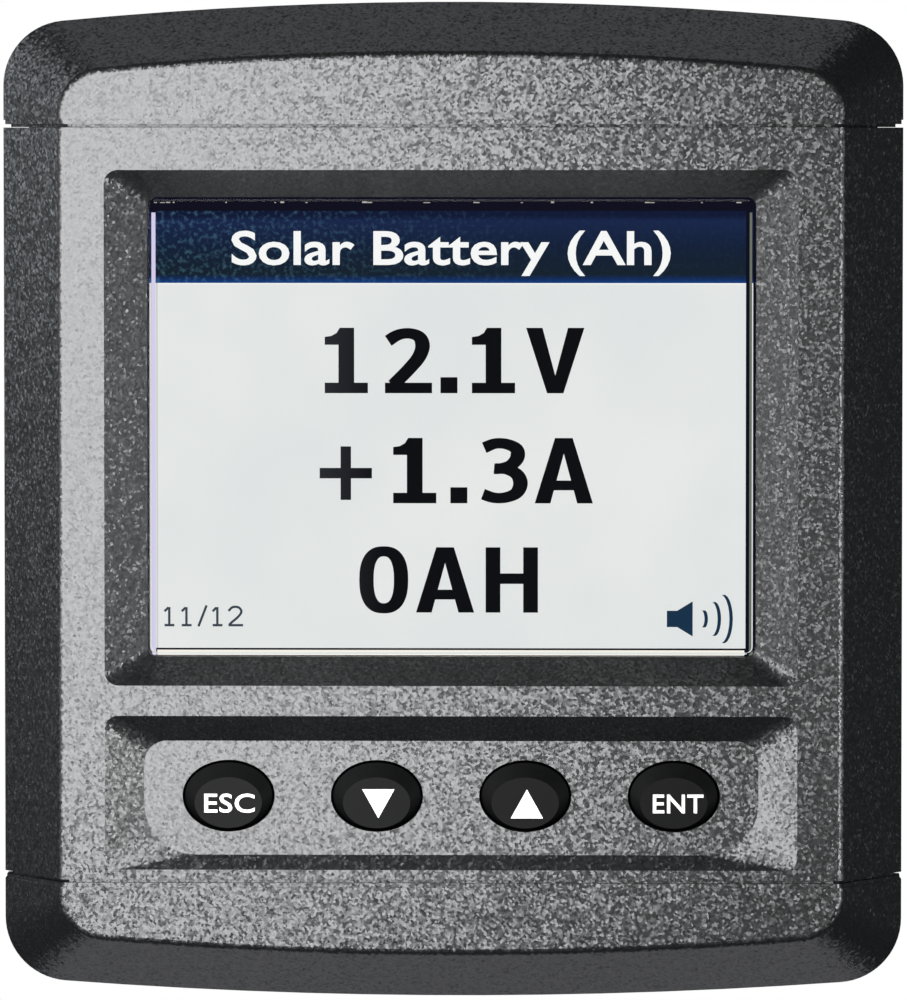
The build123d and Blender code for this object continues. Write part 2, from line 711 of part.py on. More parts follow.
PLUG_FRONT = INPUT_BACK + 2.0
NOSE_BACK = HEADER_BACK + 0.3
CLAMP_Y = 38.2
with BuildPart() as terminal_plug:
    with BuildSketch(face_plane(PLUG_BACK)):
        with Locations((0, TERMINAL_Z)):
            Rectangle(*PLUG_SIZE)
    extrude(amount=PLUG_BACK - NOSE_BACK)
    fillet(terminal_plug.faces().sort_by(Axis.Y)[-1].edges(), 0.5)
    with BuildSketch(face_plane(NOSE_BACK)):
        with Locations((0, TERMINAL_Z)):
            Rectangle(*NOSE_SIZE)
    extrude(amount=NOSE_BACK - PLUG_FRONT)
    # a shallow groove between poles, as on a row made from identical poles
    with BuildSketch(face_plane(PLUG_BACK)):
        for edge_z in (PLUG_SIZE[1] / 2, -PLUG_SIZE[1] / 2):
            with Locations((0, TERMINAL_Z + edge_z)):
                with GridLocations(POLE_PITCH, 1, POLES - 1, 1):
                    Rectangle(0.5, 0.6)
    extrude(amount=PLUG_BACK - NOSE_BACK - 1, mode=Mode.SUBTRACT)
    # wire entries, contact sockets and screwdriver wells
    with BuildSketch(face_plane(PLUG_BACK)):
        with Locations(*[(x, z - 1.0) for x, z in pole_points()]):
            RectangleRounded(3.7, 4.0, 0.6)
    extrude(amount=8.0, mode=Mode.SUBTRACT)
    with BuildSketch(face_plane(NOSE_BACK)):
        with Locations(*pole_points()):
            Rectangle(2.0, 2.0)
    extrude(amount=NOSE_BACK - PLUG_FRONT, mode=Mode.SUBTRACT)
    with BuildSketch(Plane.XY.offset(TERMINAL_Z + PLUG_SIZE[1] / 2)):
        with Locations(*[(x, CLAMP_Y) for x, _ in pole_points()]):
            Circle(1.75)
    extrude(amount=-4.0, mode=Mode.SUBTRACT)
save(terminal_plug, "terminal_plug")

with BuildPart() as clamp_cages:
    with BuildSketch(face_plane(PLUG_BACK - 2.0)):
        with Locations(*[(x, z - 1.0) for x, z in pole_points()]):
            RectangleRounded(3.5, 3.8, 0.5)
            Rectangle(2.7, 3.0, mode=Mode.SUBTRACT)
    extrude(amount=5.0)
save(clamp_cages, "clamp_cages")

SCREW_TOP = TERMINAL_Z + PLUG_SIZE[1] / 2 - 0.7
with BuildPart() as clamp_screws:
    with BuildSketch(Plane.XY.offset(SCREW_TOP)):
        with Locations(*[(x, CLAMP_Y) for x, _ in pole_points()]):
            Circle(1.55)
    extrude(amount=-3.2)
    fillet(clamp_screws.faces().group_by(Axis.Z)[-1].edges(), 0.25)
    with BuildSketch(Plane.XY.offset(SCREW_TOP)):
        with Locations(*[(x, CLAMP_Y) for x, _ in pole_points()]):
            Rectangle(3.2, 0.5, rotation=28)
    extrude(amount=-0.7, mode=Mode.SUBTRACT)
save(clamp_screws, "clamp_screws")


# Rear housing

VENT_COUNT = 6
VENT_Z = 12.0
FLANGE_BACK = -GASKET
FLANGE_SIZE = (WIDTH - 2 * FLANGE_INSET, HEIGHT - 2 * FLANGE_INSET)
with BuildPart() as rear_housing:
    add(crowned_outline(face_plane(FLANGE_BACK), *FLANGE_SIZE, CROWN, CORNER - FLANGE_INSET))
    extrude(amount=FLANGE_THICKNESS - GASKET, dir=FORWARDS)
    # pads that stop the screws from crushing the gasket
    with BuildSketch(face_plane(0)):
        with Locations(*mirrored((MOUNT_SPACING[0] / 2, MOUNT_SPACING[1] / 2))):
            Circle(PAD_RADIUS)
    extrude(amount=GASKET)
    with BuildSketch(face_plane(TUB_BACK)):
        RectangleRounded(*TUB, TUB_CORNER)
    extrude(amount=TUB_BACK - FLANGE_BACK)
    fillet(rear_housing.faces().sort_by(Axis.Y)[-1].edges(), 1.2)
    with BuildSketch(face_plane(TUB_BACK - TUB_WALL)):
        RectangleRounded(TUB[0] - 2 * TUB_WALL, TUB[1] - 2 * TUB_WALL, TUB_CORNER - TUB_WALL)
    extrude(amount=TUB_BACK + 10, mode=Mode.SUBTRACT)
    # screw towers in the corners, with deep pockets for the screw heads
    with BuildSketch(face_plane(TUB_BACK - 0.5)):
        with Locations(*mirrored(TOWER)):
            Circle(TOWER_R)
    extrude(amount=TUB_BACK - 0.5 - 0.1)
    # sockets for the covers' pegs
    with BuildSketch(face_plane(FLANGE_BACK)):
        with Locations(*mirrored((CLIP_X, CLIP_Z))):
            Circle(CLIP_BOSS_R)
    extrude(amount=5.0)
    with BuildSketch(face_plane(FLANGE_BACK)):
        with Locations(*mirrored((CLIP_X, CLIP_Z))):
            Circle(CLIP_BORE_R)
    extrude(amount=6.0, mode=Mode.SUBTRACT)
    # mounting holes
    with BuildSketch(face_plane(0)):
        with Locations(*mirrored((MOUNT_SPACING[0] / 2, MOUNT_SPACING[1] / 2))):
            Circle(MOUNT_HOLE_R)
    extrude(amount=FLANGE_THICKNESS, mode=Mode.SUBTRACT)
    with BuildSketch(face_plane(TUB_BACK)):
        with Locations(*mirrored(TOWER)):
            Circle(SCREW_HEAD_R + 0.15)
    extrude(amount=TUB_BACK - TOWER_SEAT, mode=Mode.SUBTRACT)
    with BuildSketch(face_plane(TOWER_SEAT)):
        with Locations(*mirrored(TOWER)):
            Circle(SCREW_SHAFT_R + 0.2)
    extrude(amount=TOWER_SEAT, mode=Mode.SUBTRACT)
    # terminal opening, and the slots for cooling and sound
    with BuildSketch(face_plane(TUB_BACK)):
        with Locations((0, TERMINAL_Z)):
            RectangleRounded(*TERMINAL_OPENING, 1.0)
        with Locations((0, VENT_Z)):
            with GridLocations(1, 4.4, 1, VENT_COUNT):
                SlotOverall(30.0, 1.8)
    extrude(amount=TUB_WALL, mode=Mode.SUBTRACT)
save(rear_housing, "rear_housing")

housing_screws = fasteners(mirrored(TOWER), TOWER_SEAT, SCREW_HEAD_R, 2.0, SCREW_SHAFT_R - 0.1, 16.0)
save(housing_screws, "housing_screws")

with BuildPart() as panel_gasket:
    gasket_size = (FLANGE_SIZE[0] - 0.4, FLANGE_SIZE[1] - 0.4)
    add(crowned_outline(face_plane(0), *gasket_size, CROWN, CORNER - FLANGE_INSET))
    extrude(amount=GASKET, dir=FORWARDS)
    with BuildSketch(face_plane(0)):
        RectangleRounded(TUB[0] + 0.8, TUB[1] + 0.8, TUB_CORNER + 0.4)
        with Locations(*mirrored((MOUNT_SPACING[0] / 2, MOUNT_SPACING[1] / 2))):
            Circle(PAD_RADIUS + 0.3)
    extrude(amount=GASKET, mode=Mode.SUBTRACT)
save(panel_gasket, "panel_gasket")
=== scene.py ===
import json
import math
import random

import bmesh
import bpy
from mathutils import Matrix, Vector


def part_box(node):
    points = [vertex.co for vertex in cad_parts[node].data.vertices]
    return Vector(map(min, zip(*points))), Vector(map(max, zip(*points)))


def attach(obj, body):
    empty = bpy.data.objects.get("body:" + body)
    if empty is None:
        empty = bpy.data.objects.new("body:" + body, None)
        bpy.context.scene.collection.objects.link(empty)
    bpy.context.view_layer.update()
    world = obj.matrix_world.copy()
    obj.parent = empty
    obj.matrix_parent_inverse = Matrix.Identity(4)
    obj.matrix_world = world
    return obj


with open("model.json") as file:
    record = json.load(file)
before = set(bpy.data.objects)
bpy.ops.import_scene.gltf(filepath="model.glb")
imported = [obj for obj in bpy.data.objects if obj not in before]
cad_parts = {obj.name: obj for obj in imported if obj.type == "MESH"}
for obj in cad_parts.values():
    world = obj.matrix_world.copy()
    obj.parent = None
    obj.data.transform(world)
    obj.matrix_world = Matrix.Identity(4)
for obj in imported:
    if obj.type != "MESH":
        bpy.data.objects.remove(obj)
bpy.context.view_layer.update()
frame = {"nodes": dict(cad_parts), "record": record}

mm = 0.001


# helpers


def linearColour(hexCode, alpha=1.0):
    channels = [int(hexCode[i:i + 2], 16) / 255 for i in (1, 3, 5)]
    linear = [c / 12.92 if c <= 0.04045 else ((c + 0.055) / 1.055) ** 2.4 for c in channels]
    return (*linear, alpha)


def addNode(tree, kind, values=None, links=None, **settings):
    made = tree.nodes.new(kind)
    for key, value in settings.items():
        setattr(made, key, value)
    for socket, value in (values or {}).items():
        made.inputs[socket].default_value = value
    for socket, (source, output) in (links or {}).items():
        tree.links.new(source.outputs[output], made.inputs[socket])
    return made


def startMaterial(name, **values):
    material = bpy.data.materials.new(name)
    material.use_nodes = True
    tree = material.node_tree
    shader = tree.nodes["Principled BSDF"]
    for socket, value in values.items():
        shader.inputs[socket.replace("_", " ")].default_value = value
    place = addNode(tree, "ShaderNodeTexCoord")
    return material, tree, shader, place


def addRamp(tree, source, output, stops):
    ramp = addNode(tree, "ShaderNodeValToRGB", links={"Fac": (source, output)})
    elements = ramp.color_ramp.elements
    while len(elements) < len(stops):
        elements.new(0.5)
    for element, (position, colour) in zip(elements, stops):
        element.position = position
        element.color = colour if not isinstance(colour, str) else linearColour(colour)
    return ramp


def grey(value):
    return (value, value, value, 1)


def grained(name, pale, dark, grainMm, rough, bump=0.3, depthMm=0.03, speckle=0.5, **values):
    # a surface whose colour, gloss and relief all vary with one grain, sized in millimetres
    material, tree, shader, place = startMaterial(name, **values)
    grain = addNode(tree, "ShaderNodeTexNoise",
                    {"Scale": 1 / (grainMm * mm), "Detail": 2.0, "Roughness": 0.6},
                    {"Vector": (place, "Object")})
    cloud = addNode(tree, "ShaderNodeTexNoise", {"Scale": 40.0, "Detail": 3.0}, {"Vector": (place, "Object")})
    blend = addNode(tree, "ShaderNodeMix", {0: speckle}, {2: (cloud, "Fac"), 3: (grain, "Fac")},
                    data_type="FLOAT")
    colour = addRamp(tree, blend, 0, [(0.35, dark), (0.65, pale)])
    tree.links.new(colour.outputs["Color"], shader.inputs["Base Color"])
    gloss = addRamp(tree, grain, "Fac", [(0.3, grey(rough[0])), (0.7, grey(rough[1]))])
    tree.links.new(gloss.outputs["Color"], shader.inputs["Roughness"])
    relief = addNode(tree, "ShaderNodeBump", {"Strength": bump, "Distance": depthMm * mm},
                     {"Height": (grain, "Fac")})
    tree.links.new(relief.outputs["Normal"], shader.inputs["Normal"])
    return material


displayGlow = 1.28  # lifts the display's colours to their look with the backlight on


def glowing(name, colour):
    material = bpy.data.materials.new(name)
    material.use_nodes = True
    tree = material.node_tree
    tree.nodes.remove(tree.nodes["Principled BSDF"])
    light = addNode(tree, "ShaderNodeEmission", {"Color": linearColour(colour), "Strength": displayGlow})
    tree.links.new(light.outputs["Emission"], tree.nodes["Material Output"].inputs["Surface"])
    return material, tree, light


def finishPiece(obj, material, body="housing"):
    obj.data.materials.clear()
    obj.data.materials.append(material)
    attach(obj, body)
    return obj


def pieceFromMesh(name, mesh):
    mesh.update()
    obj = bpy.data.objects.new(name, mesh)
    bpy.context.scene.collection.objects.link(obj)
    return obj


def facing(points, y):
    return [(x * mm, y * mm, z * mm) for x, z in points]


def addPrism(bm, outline, back, front, holes=()):
    # a flat shape in X and Z (mm) given its thickness between two y planes; a ring if it has a hole
    for loop in (outline, *holes):
        following = loop[1:] + loop[:1]
        area = sum(a[0] * b[1] - b[0] * a[1] for a, b in zip(loop, following))
        if area < 0:
            loop.reverse()
    rings = [[[bm.verts.new(p) for p in facing(loop, y)] for y in (front, back)]
             for loop in (outline, *holes)]
    for number, (near, far) in enumerate(rings):
        count = len(near)
        for i in range(count):
            j = (i + 1) % count
            quad = (near[i], far[i], far[j], near[j]) if number == 0 else (near[j], far[j], far[i], near[i])
            bm.faces.new(quad)
    if holes:
        for i in range(len(outline)):
            j = (i + 1) % len(outline)
            bm.faces.new((rings[0][0][i], rings[0][0][j], rings[1][0][j], rings[1][0][i]))
            bm.faces.new((rings[0][1][j], rings[0][1][i], rings[1][1][i], rings[1][1][j]))
    else:
        bm.faces.new(rings[0][0])
        bm.faces.new(list(reversed(rings[0][1])))


def prismPiece(name, shapes, back, front):
    bm = bmesh.new()
    for shape in shapes:
        outline, holes = shape if isinstance(shape, tuple) else (shape, ())
        addPrism(bm, list(outline), back, front, [list(h) for h in holes])
    mesh = bpy.data.meshes.new(name)
    bmesh.ops.recalc_face_normals(bm, faces=bm.faces)
    bm.to_mesh(mesh)
    bm.free()
    return pieceFromMesh(name, mesh)


def rectangle(x0, x1, z0, z1):
    return [(x0, z0), (x1, z0), (x1, z1), (x0, z1)]


def textPiece(name, words, centre, height, y, width=None, weight=0.0, thick=0.04, spacing=1.0):
    # lettering of an exact cap height (mm), centred on a point of the face and pushed out by its thickness
    curve = bpy.data.curves.new(name, "FONT")
    curve.body = words
    curve.offset = weight
    curve.space_character = spacing
    curve.extrude = 0.5
    curve.resolution_u = 4
    lettering = bpy.data.objects.new(name + "Curve", curve)
    bpy.context.scene.collection.objects.link(lettering)
    bpy.context.view_layer.update()
    mesh = bpy.data.meshes.new_from_object(lettering.evaluated_get(bpy.context.evaluated_depsgraph_get()))
    bpy.data.objects.remove(lettering)
    mesh.name = name
    xs = [v.co.x for v in mesh.vertices]
    capHeight = 0.728 + 2 * weight  # the built-in font's capitals, for a size of 1
    scaleUp = height * mm / capHeight
    scaleAcross = width * mm / (max(xs) - min(xs)) if width else scaleUp
    middle = (max(xs) + min(xs)) / 2
    for v in mesh.vertices:
        across, up, out = v.co
        v.co = ((across - middle) * scaleAcross + centre[0] * mm, y * mm - (out + 0.5) * thick * mm,
                (up + weight) * scaleUp + centre[1] * mm - height * mm / 2)
    bm = bmesh.new()
    bm.from_mesh(mesh)
    bmesh.ops.remove_doubles(bm, verts=bm.verts, dist=1e-7)
    bmesh.ops.recalc_face_normals(bm, faces=bm.faces)
    bm.to_mesh(mesh)
    bm.free()
    return pieceFromMesh(name, mesh)


# camera, light and floor

view = {"azimuth": 1.2, "elevation": 2.7, "distance": 900.0, "frameHeight": 116.93, "aim": (0.08, -2.6, 0.0)}
azimuth, elevation = math.radians(view["azimuth"]), math.radians(view["elevation"])
aim = Vector(view["aim"]) * mm
away = Vector((math.sin(azimuth) * math.cos(elevation), -math.cos(azimuth) * math.cos(elevation),
               math.sin(elevation)))
camera = bpy.data.objects.new("camera", bpy.data.cameras.new("camera"))
camera.data.sensor_width = 36.0
camera.data.lens = 36.0 * view["distance"] / view["frameHeight"]
camera.data.clip_start, camera.data.clip_end = 0.01, 50
camera.location = aim + away * view["distance"] * mm
camera.rotation_euler = (-away).to_track_quat("-Z", "Y").to_euler()
bpy.context.scene.collection.objects.link(camera)
bpy.context.scene.camera = camera
bpy.context.scene.view_settings.view_transform = "Standard"


def softbox(name, place, target, width, height, strength, colour="#ffffff"):
    light = bpy.data.lights.new(name, "AREA")
    light.shape = "RECTANGLE"
    light.size, light.size_y = width, height
    light.energy = strength
    light.color = linearColour(colour)[:3]
    lamp = bpy.data.objects.new(name, light)
    lamp.location = place
    lamp.visible_camera = False
    lamp.rotation_euler = (Vector(target) - Vector(place)).to_track_quat("-Z", "Y").to_euler()
    bpy.context.scene.collection.objects.link(lamp)
    return lamp


keySoftbox = softbox("keySoftbox", (-0.118, -0.165, 0.022), (-0.118, 0, 0.022), 0.25, 0.19, 1.26, "#fdfdff")
softbox("sidePanelLeft", (-0.40, -0.10, 0.0), (0, -0.01, 0), 0.26, 0.24, 0.2, "#fdfdff")
softbox("sidePanelRight", (0.40, -0.10, 0.0), (0, -0.01, 0), 0.2, 0.2, 0.18, "#f4f8ff")
softbox("trayPanelRight", (0.30, -0.31, -0.05), (-0.03, -0.013, -0.034), 0.08, 0.1, 0.9)
softbox("backPanelLeft", (-0.5, 0.5, 0.25), (0, 0, 0), 0.5, 0.5, 1.3, "#f2f7ff")
softbox("underPanel", (0.0, 0.25, -0.5), (0, 0, -0.02), 0.6, 0.4, 0.38, "#f6f6ff")
softbox("backPanelTop", (0.0, 0.55, 0.75), (0, 0, 0), 0.7, 0.5, 0.42, "#f2f7ff")

# a flag keeps the near softbox out of the window's polished surface
flagged = bpy.data.collections.new("flaggedPieces")
flagged.objects.link(frame["nodes"]["display_window"])
flagged.collection_objects[0].light_linking.link_state = "EXCLUDE"
keySoftbox.light_linking.receiver_collection = flagged

# the room is seen as white, but lights the object only a little
roomLight = 0.045
world = bpy.data.worlds.new("paleRoom")
bpy.context.scene.world = world
world.use_nodes = True
room = world.node_tree
lightPath = addNode(room, "ShaderNodeLightPath")
seen = addNode(room, "ShaderNodeBackground", {"Color": linearColour("#ffffff"), "Strength": 1.0})
dim = addNode(room, "ShaderNodeBackground", {"Color": linearColour("#f4f7ff"), "Strength": roomLight})
either = addNode(room, "ShaderNodeMixShader", {},
                 {0: (lightPath, "Is Camera Ray"), 1: (dim, 0), 2: (seen, 0)})
room.links.new(either.outputs[0], room.nodes["World Output"].inputs["Surface"])

floorMesh = bpy.data.meshes.new("floor")
floorSize = {"half": 0.9, "z": -0.35}
corners = [(x * floorSize["half"], y * floorSize["half"], floorSize["z"])
           for x, y in ((-1, -1), (1, -1), (1, 1), (-1, 1))]
floorMesh.from_pydata(corners, [], [(0, 1, 2, 3)])
floor = pieceFromMesh("floor", floorMesh)
paper = grained("matt_paper_floor", "#f6f6f5", "#f1f1f0", 2.0, (0.85, 0.95), bump=0.05)
floor.data.materials.append(paper)
floor.visible_diffuse = floor.visible_glossy = False

# a lamp for the floor alone, and a fill for the back that leaves the front mouldings alone
floorLamp = softbox("floorLamp", (0, 0, 1.6), (0, 0, -0.35), 1.2, 1.2, 60.0)
lampTargets = bpy.data.collections.new("floorOnly")
lampTargets.objects.link(floor)
floorLamp.light_linking.receiver_collection = lampTargets
frontPieces = bpy.data.collections.new("frontPieces")
for name in ("front_bezel", "top_cover", "bottom_cover", "display_window"):
    frontPieces.objects.link(frame["nodes"][name])
for member in frontPieces.collection_objects:
    member.light_linking.link_state = "EXCLUDE"
backFill = {"side": 1.1, "strength": 13.0}
for name, place in (("backFillLeft", (0.5, 0.8, 0.35)), ("backFillRight", (-0.6, 0.7, 0.5))):
    lamp = softbox(name, place, (0, 0.02, 0), backFill["side"], backFill["side"], backFill["strength"])
    lamp.light_linking.receiver_collection = frontPieces
print("camera, lights and floor ready")


# materials

# ABS from a spark-eroded mould: a fine pitted skin that breaks the sheen into bright and dark grains
shellFinish = {"grain": 0.22, "strength": 0.6, "depth": 0.03, "facet": 0.3, "lean": 0.29}
shellPlastic, tree, shader, place = startMaterial("spark_eroded_abs", IOR=1.53, Specular_IOR_Level=0.8)
where = {"Vector": (place, "Object")}
pits = addNode(tree, "ShaderNodeTexNoise",
               {"Scale": 1 / (shellFinish["grain"] * mm), "Detail": 3.0, "Roughness": 0.7}, where)
flow = addNode(tree, "ShaderNodeTexNoise", {"Scale": 55.0, "Detail": 4.0, "Roughness": 0.6}, where)
tint = addRamp(tree, pits, "Fac", [(0.40, "#080909"), (0.54, "#0e1010"), (0.66, "#262828")])
cloudy = addRamp(tree, flow, "Fac", [(0.3, grey(0.86)), (0.7, grey(1.0))])
toned = addNode(tree, "ShaderNodeMix", {0: 1.0}, {6: (tint, "Color"), 7: (cloudy, "Color")},
                data_type="RGBA", blend_type="MULTIPLY")
tree.links.new(toned.outputs[2], shader.inputs["Base Color"])
gloss = addRamp(tree, pits, "Fac", [(0.35, grey(0.36)), (0.65, grey(0.28))])
tree.links.new(gloss.outputs["Color"], shader.inputs["Roughness"])
relief = addNode(tree, "ShaderNodeBump",
                 {"Strength": shellFinish["strength"], "Distance": shellFinish["depth"] * mm},
                 {"Height": (pits, "Fac")})
# every pit leaves a small facet, leaning its own way
facets = addNode(tree, "ShaderNodeTexVoronoi", {"Scale": 1 / (shellFinish["facet"] * mm)}, where)
centred = addNode(tree, "ShaderNodeVectorMath", {1: (0.5, 0.5, 0.5)}, {0: (facets, "Color")},
                  operation="SUBTRACT")
lean = addNode(tree, "ShaderNodeVectorMath", {"Scale": shellFinish["lean"]}, {0: (centred, 0)},
               operation="SCALE")
tilted = addNode(tree, "ShaderNodeVectorMath", {}, {0: (relief, "Normal"), 1: (lean, 0)},
                 operation="ADD")
evened = addNode(tree, "ShaderNodeVectorMath", {}, {0: (tilted, 0)}, operation="NORMALIZE")
tree.links.new(evened.outputs[0], shader.inputs["Normal"])

# silicone rubber, compression moulded: soft sheen, a trace of dust, almost no grain
silicone = grained("moulded_silicone_rubber", "#090a09", "#040404", 0.25, (0.48, 0.56),
                   bump=0.12, depthMm=0.01, Specular_IOR_Level=0.1)
carbon = grained("conductive_carbon_rubber", "#161616", "#0c0c0c", 0.15, (0.6, 0.7))
foam = grained("closed_cell_foam", "#202223", "#0f1011", 0.5, (0.85, 0.95), bump=0.8, depthMm=0.1)
tape = grained("black_foam_tape", "#131414", "#0b0b0c", 0.2, (0.7, 0.85), bump=0.4)
steelSheet = grained("tin_plated_sheet_steel", "#bdbcb6", "#8f908c", 0.6, (0.28, 0.42),
                     bump=0.15, Metallic=1.0)
tinned = grained("bright_tin_plate", "#c9c8c2", "#a5a5a0", 0.3, (0.22, 0.35), bump=0.15, Metallic=1.0)
zincSteel = grained("bright_zinc_steel", "#c6c9cc", "#8f9398", 0.4, (0.24, 0.38), bump=0.2, Metallic=1.0)
turnedBrass = grained("turned_brass", "#c9a45a", "#9c7b3c", 0.5, (0.25, 0.36), bump=0.2, Metallic=1.0)
goldPad = grained("gold_plated_copper", "#d9b45c", "#b98f3c", 0.4, (0.2, 0.3), bump=0.1, Metallic=1.0)
epoxy = grained("moulded_chip_epoxy", "#2a2b2d", "#18191b", 0.12, (0.5, 0.62), bump=0.4)
ceramic = grained("fired_ceramic", "#b9b29c", "#857f70", 0.4, (0.4, 0.55), bump=0.2)
relayCase = grained("blue_pbt_case", "#24508f", "#1a3c70", 0.3, (0.3, 0.4), bump=0.1)
sleeve = grained("shrunk_pvc_sleeve", "#23283a", "#171b2a", 0.6, (0.22, 0.32), bump=0.1)
ferrite = grained("pressed_ferrite", "#3c3d3f", "#232426", 0.25, (0.6, 0.75), bump=0.5)
connectorPlastic = grained("green_polyamide", "#2f9c50", "#1f7c3c", 0.35, (0.42, 0.52),
                           bump=0.2, depthMm=0.02)
whitePlastic = grained("white_polycarbonate", "#ecece6", "#dcdcd4", 0.4, (0.35, 0.45), bump=0.1)
lightSheet = grained("frosted_optical_sheet", "#f2f4f4", "#e4e7e8", 0.2, (0.5, 0.6), bump=0.2)
ledLens = grained("phosphor_silicone", "#f3ec9a", "#e2d66a", 0.2, (0.25, 0.35), bump=0.1)
keyInk = grained("white_screen_ink", "#f7f6f2", "#e9e7e2", 0.15, (0.45, 0.55), bump=0.15, depthMm=0.01)
padInk = grained("grey_pad_print_ink", "#c9ccca", "#b4b8b6", 0.15, (0.5, 0.6), bump=0.15, depthMm=0.01)

# solder mask over glass-fibre laminate: the copper tracks show through as slightly paler lines
laminate, tree, shader, place = startMaterial("green_solder_mask", IOR=1.5, Roughness=0.32)
tracks = addNode(tree, "ShaderNodeTexBrick",
                 {"Scale": 260.0, "Mortar Size": 0.012, "Color1": linearColour("#0f5a2c"),
                  "Color2": linearColour("#136632"), "Mortar": linearColour("#2c8a4b")},
                 offset=0.35, squash=2.4)
turn = addNode(tree, "ShaderNodeMapping", {"Rotation": (math.pi / 2, 0, 0)}, {"Vector": (place, "Object")})
tree.links.new(turn.outputs["Vector"], tracks.inputs["Vector"])
tree.links.new(tracks.outputs["Color"], shader.inputs["Base Color"])
raised = addNode(tree, "ShaderNodeBump", {"Strength": 0.3, "Distance": 0.035 * mm},
                 {"Height": (tracks, "Fac")})
tree.links.new(raised.outputs["Normal"], shader.inputs["Normal"])

# cast acrylic, polished: clear, with only a few faint specks of dust
acrylic, tree, shader, place = startMaterial("polished_clear_acrylic", IOR=1.49, Transmission_Weight=1.0)
specks = addNode(tree, "ShaderNodeTexNoise", {"Scale": 900.0, "Detail": 2.0}, {"Vector": (place, "Object")})
haze = addRamp(tree, specks, "Fac", [(0.7, grey(0.0)), (0.9, grey(0.05))])
tree.links.new(haze.outputs["Color"], shader.inputs["Roughness"])

# polished display glass with a dark polariser behind it
panelGlass = grained("display_glass_polariser", "#10141c", "#0b0e14", 0.4, (0.08, 0.12), bump=0.02, IOR=1.5)

slotMaterials = {
    "shell_plastic": shellPlastic, "silicone_rubber": silicone, "carbon_pill": carbon,
    "clear_acrylic": acrylic,
    "foam_tape": tape, "gasket_foam": foam, "frame_steel": steelSheet, "display_glass": panelGlass,
    "light_sheet": lightSheet, "white_plastic": whitePlastic, "led_package": ledLens,
    "board_laminate": laminate,
    "gold_pad": goldPad, "chip_moulding": epoxy, "tinned_metal": tinned, "ceramic": ceramic,
    "relay_case": relayCase, "capacitor_sleeve": sleeve, "ferrite": ferrite, "brass": turnedBrass,
    "zinc_steel": zincSteel, "connector_plastic": connectorPlastic,
}
slotOf = {entry["node"]: entry["material_slot"] for entry in frame["record"]["subparts"]}
for nodeName, nodeObject in frame["nodes"].items():
    nodeObject.data.materials.clear()
    nodeObject.data.materials.append(slotMaterials[slotOf[nodeName]])
print("materials ready")


# display picture, just in front of the display frame and glass

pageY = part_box("display_frame")[0][1] / mm - 0.06  # just in front of the display frame
layer = 0.02  # each printed layer of the picture stands this far in front of the one behind

screen = {"left": -34.43, "right": 34.13, "top": 33.84, "bottom": -17.0, "header": 25.46}
opening = {"left": -35.5, "right": 35.5, "top": 35.6, "bottom": -18.0}

page, pageTree, pageLight = glowing("backlit_display_white", "#e7ebea")
spot = addNode(pageTree, "ShaderNodeTexCoord")
mottle = addNode(pageTree, "ShaderNodeTexNoise", {"Scale": 60.0, "Detail": 2.0}, {"Vector": (spot, "Object")})
pageTone = addRamp(pageTree, mottle, "Fac", [(0.3, "#e4e8e8"), (0.7, "#ebeeec")])
pageTree.links.new(pageTone.outputs["Color"], pageLight.inputs["Color"])

headerGlow, headerTree, headerLight = glowing("backlit_display_navy", "#15243a")
spot = addNode(headerTree, "ShaderNodeTexCoord")
split = addNode(headerTree, "ShaderNodeSeparateXYZ", {}, {0: (spot, "Object")})
height = addNode(headerTree, "ShaderNodeMapRange",
                 {1: screen["header"] * mm, 2: screen["top"] * mm}, {0: (split, "Z")})
bars = addRamp(headerTree, height, 0, [(0.0, "#0d3f80"), (0.05, "#0f2c5e"), (0.12, "#12202c"),
                                       (0.5, "#101f38"), (0.86, "#16254a"), (0.93, "#0c1634")])
# painted reflection: teal specks that thicken towards the left stand for light reflected in the window over
# the header
grains = addNode(headerTree, "ShaderNodeTexNoise", {"Scale": 1800.0, "Detail": 2.0},
                 {"Vector": (spot, "Object")})
teal = addRamp(headerTree, grains, "Fac", [(0.5, "#000000"), (0.75, "#3d6070")])
reflectionTowardLeft = addNode(headerTree, "ShaderNodeMapRange",
                   {1: 10 * mm, 2: screen["left"] * mm, 3: 0.05, 4: 0.8}, {0: (split, "X")})
headerWithReflection = addNode(headerTree, "ShaderNodeMix", {},
                   {0: (reflectionTowardLeft, 0), 6: (bars, "Color"), 7: (teal, "Color")},
                   data_type="RGBA", blend_type="ADD")
headerTree.links.new(headerWithReflection.outputs[2], headerLight.inputs["Color"])

inkGlow, inkTree, inkLight = glowing("backlit_display_black", "#0a0c10")
spot = addNode(inkTree, "ShaderNodeTexCoord")
split = addNode(inkTree, "ShaderNodeSeparateXYZ", {}, {0: (spot, "Object")})
# painted reflection: the black figures turn lighter towards the left, standing for light reflected in the
# window over them
sheen = addNode(inkTree, "ShaderNodeMapRange", {1: -8 * mm, 2: -20 * mm}, {0: (split, "X")})
inkWithReflection = addRamp(inkTree, sheen, 0, [(0.0, "#080a0e"), (1.0, "#33363c")])
inkTree.links.new(inkWithReflection.outputs["Color"], inkLight.inputs["Color"])

whiteGlow = glowing("backlit_display_text", "#fbfdfc")[0]
# painted reflections: the next four glows stand for the display's light reflected in the edges of the clear
# window
edgeReflectionCream = glowing("painted_edge_reflection_cream", "#fbf7ec")[0]
edgeReflectionViolet = glowing("painted_edge_reflection_violet", "#d9d2f0")[0]
edgeReflectionGrey = glowing("painted_edge_reflection_grey", "#6c7469")[0]
edgeReflectionPale = glowing("painted_edge_reflection_pale_grey", "#cdd0cf")[0]
navyGap = glowing("display_gap_navy", "#0b0a1c")[0]


def screenPiece(name, shapes, material, level=1):
    # one layer of the picture: level 0 lies on the display frame, level 1 on top of that
    back = pageY - level * layer
    finishPiece(prismPiece(name, shapes, back, back - layer), material)


